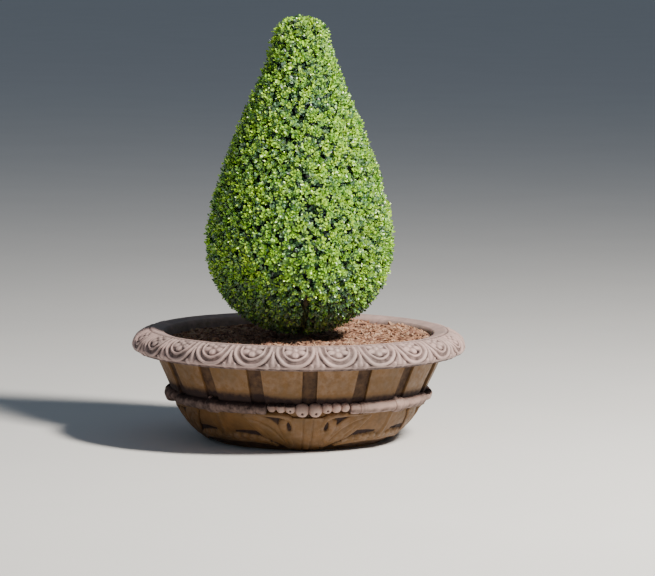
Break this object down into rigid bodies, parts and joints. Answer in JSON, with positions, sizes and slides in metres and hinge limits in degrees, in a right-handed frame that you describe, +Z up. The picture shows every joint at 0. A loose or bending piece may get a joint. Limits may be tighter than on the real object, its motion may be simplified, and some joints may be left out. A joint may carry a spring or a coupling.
{
  "type": "potted clipped boxwood topiary",
  "caption": "Boxwood clipped to a dense teardrop, growing from mulched soil in a wide, low stone bowl with a scalloped rim, a rail and carved palmettes.",
  "frame": {"origin": "middle of the bowl's flat underside, on the ground", "axes": "+Z up the plant; -Y towards the front palmette of the bowl"},
  "size_m": [1.0672, 1.0672, 1.358],
  "materials": {
    "bowl_stone": "cast stone with a brown bronze patina",
    "rim_stone": "cast stone with a worn mauve bronze patina",
    "mulch": "loose shredded bark",
    "bark": "rough corky bark",
    "foliage": "small glossy leaves"
  },
  "bodies": {
    "root": {"pot_bowl": "bowl_stone", "pot_rim": "rim_stone", "palmette_1": "rim_stone", "palmette_2": "rim_stone", "palmette_3": "rim_stone", "palmette_4": "rim_stone", "knot_1": "rim_stone", "knot_2": "rim_stone", "knot_3": "rim_stone", "knot_4": "rim_stone", "rail_1": "rim_stone", "rail_2": "rim_stone", "rail_3": "rim_stone", "rail_4": "rim_stone", "rail_5": "rim_stone", "rail_6": "rim_stone", "rail_7": "rim_stone", "rail_8": "rim_stone", "soil": "mulch", "trunk": "bark", "bough_1": "bark", "bough_2": "bark", "bough_3": "bark", "bough_4": "bark", "bough_5": "bark", "crown": "foliage"}
  },
  "joints": []
}
